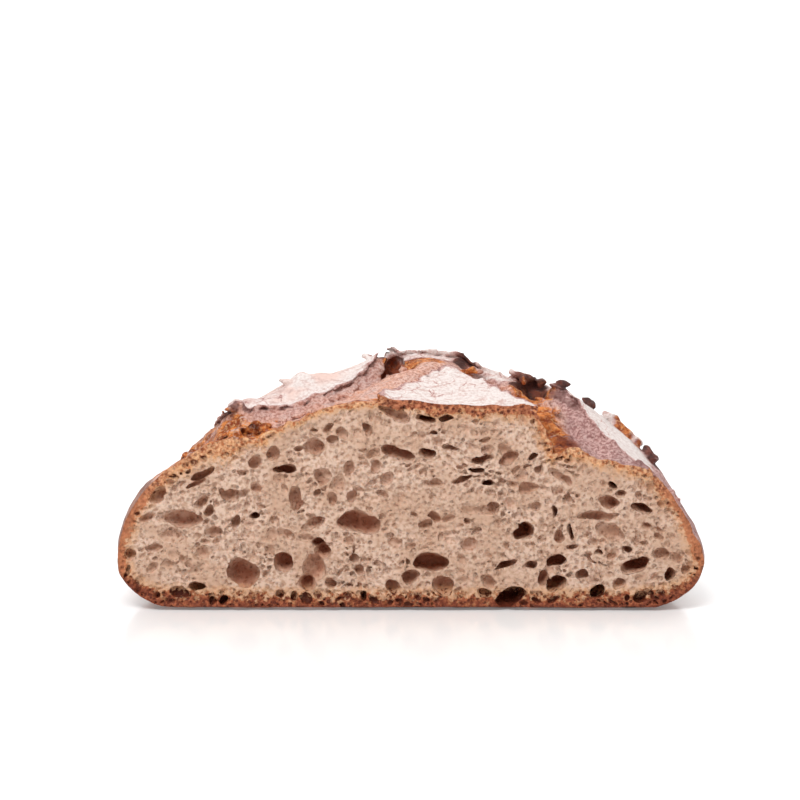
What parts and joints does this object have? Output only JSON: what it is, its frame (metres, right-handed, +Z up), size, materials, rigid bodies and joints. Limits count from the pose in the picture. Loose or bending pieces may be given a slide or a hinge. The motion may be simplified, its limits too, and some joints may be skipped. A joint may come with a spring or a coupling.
{
  "type": "half country loaf",
  "caption": "Half of a round country loaf with a scored, floured crust and an open crumb, standing on its flat base with the cut face to the front.",
  "frame": {"origin": "middle of the bottom of the loaf's box, on the plane it stands on", "axes": "+X along the cut face's width, -Y out of the cut face, +Z up"},
  "size_m": [0.2512, 0.138, 0.1052],
  "materials": {
    "bread": "matt"
  },
  "bodies": {
    "root": {"half_loaf": "bread"}
  },
  "joints": []
}
